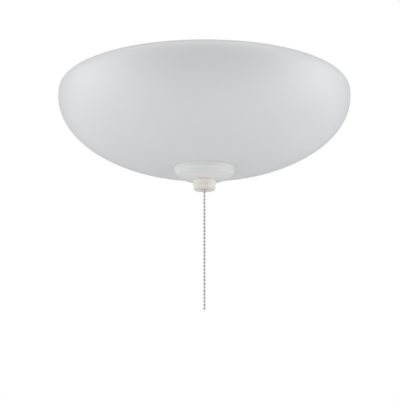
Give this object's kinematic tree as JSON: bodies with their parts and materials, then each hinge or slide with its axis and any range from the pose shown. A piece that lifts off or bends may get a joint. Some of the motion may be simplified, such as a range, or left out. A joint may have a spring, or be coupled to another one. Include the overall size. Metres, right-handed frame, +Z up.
{
  "type": "ceiling fan light kit",
  "caption": "Ceiling fan light kit: fitter with lamp holders and pull switch, frosted glass bowl on a hollow centre rod, cap and ridged finial, ball chain through the middle.",
  "frame": {"origin": "centre of the fitter neck's flat top face, which meets the fan; the kit hangs below it", "axes": "+Z up along the nipple, rod and chain; +X and -X along the two lamps"},
  "size_m": [0.3556, 0.3556, 0.3308],
  "materials": {
    "frosted_glass": "satin",
    "white_steel": "satin",
    "plated_steel": "satin",
    "nickel": "satin",
    "ivory_moulding": "satin",
    "brass": "satin",
    "porcelain": "gloss",
    "lamp_glass": "satin",
    "foil": "satin",
    "rubber": "matte",
    "black_moulding": "satin",
    "fibre_board": "matte",
    "white_lead": "satin",
    "black_lead": "satin",
    "connector_plastic": "matte"
  },
  "bodies": {
    "fitter": {"fitter_neck": "white_steel", "fitter_pan": "white_steel", "mounting_nipple": "plated_steel", "nipple_washer": "plated_steel", "nipple_nut": "plated_steel", "fan_washer": "plated_steel", "fan_nut": "plated_steel", "neck_screw_a": "plated_steel", "neck_screw_b": "plated_steel", "neck_screw_c": "plated_steel", "rod_stirrup": "plated_steel", "stirrup_screw_a": "plated_steel", "stirrup_screw_b": "plated_steel", "switch_shelf": "plated_steel", "shelf_rivet_a": "plated_steel", "shelf_rivet_b": "plated_steel", "centre_rod": "plated_steel", "rod_washer": "plated_steel", "rod_nut_upper": "plated_steel", "rod_nut_lower": "plated_steel", "switch_axle": "plated_steel", "return_spring": "plated_steel", "holder_bracket_a": "plated_steel", "holder_bracket_b": "plated_steel", "bracket_screw_a": "plated_steel", "bracket_screw_b": "plated_steel", "holder_screw_a": "plated_steel", "holder_screw_b": "plated_steel", "stop_washer": "plated_steel", "stop_nut": "plated_steel", "switch_ring_nut": "nickel", "screw_shell_a": "brass", "screw_shell_b": "brass", "centre_contact_a": "brass", "centre_contact_b": "brass", "switch_contact_a": "brass", "switch_contact_b": "brass", "lamp_holder_a": "porcelain", "lamp_holder_b": "porcelain", "heat_shield": "foil", "switch_housing": "black_moulding", "switch_cover": "fibre_board", "neutral_lead_a": "white_lead", "neutral_lead_b": "white_lead", "live_lead_a": "black_lead", "live_lead_b": "black_lead", "neutral_connector": "connector_plastic", "live_connector": "connector_plastic"},
    "pull_chain": {"pull_chain": "nickel"},
    "switch_drum": {"switch_drum": "porcelain"},
    "lamp_a": {"lamp_base_a": "nickel", "lamp_envelope_a": "lamp_glass"},
    "lamp_b": {"lamp_base_b": "nickel", "lamp_envelope_b": "lamp_glass"},
    "bowl": {"glass_bowl": "frosted_glass", "upper_gasket": "rubber", "lower_gasket": "rubber", "finial_cap": "white_steel"},
    "finial": {"finial_nut": "ivory_moulding"}
  },
  "joints": [
    {"name": "chain_pull", "type": "slide", "parent": "fitter", "child": "pull_chain", "axis": [0, 0, -1], "range_m": [0, 0.009], "stiffness_N_per_m": 700},
    {"name": "drum_turn", "type": "hinge", "parent": "fitter", "child": "switch_drum", "pos_m": [-0.008, 0, -0.0248], "axis": [0, 1, 0], "range_deg": [0, 65]},
    {"name": "lamp_a_turn", "type": "hinge", "parent": "fitter", "child": "lamp_a", "pos_m": [0.031, 0, -0.064], "axis": [1, 0, 0], "range_deg": [0, 1440]},
    {"name": "lamp_b_turn", "type": "hinge", "parent": "fitter", "child": "lamp_b", "pos_m": [-0.031, 0, -0.064], "axis": [-1, 0, 0], "range_deg": [0, 1440]},
    {"name": "bowl_lower", "type": "slide", "parent": "fitter", "child": "bowl", "axis": [0, 0, -1], "range_m": [0, 0.145]},
    {"name": "finial_turn", "type": "hinge", "parent": "bowl", "child": "finial", "pos_m": [0, 0, -0.15789], "axis": [0, 0, -1], "continuous": true}
  ],
  "couplings": [
    {"joint": "drum_turn", "follows": "chain_pull", "rad_per_m": 125}
  ]
}
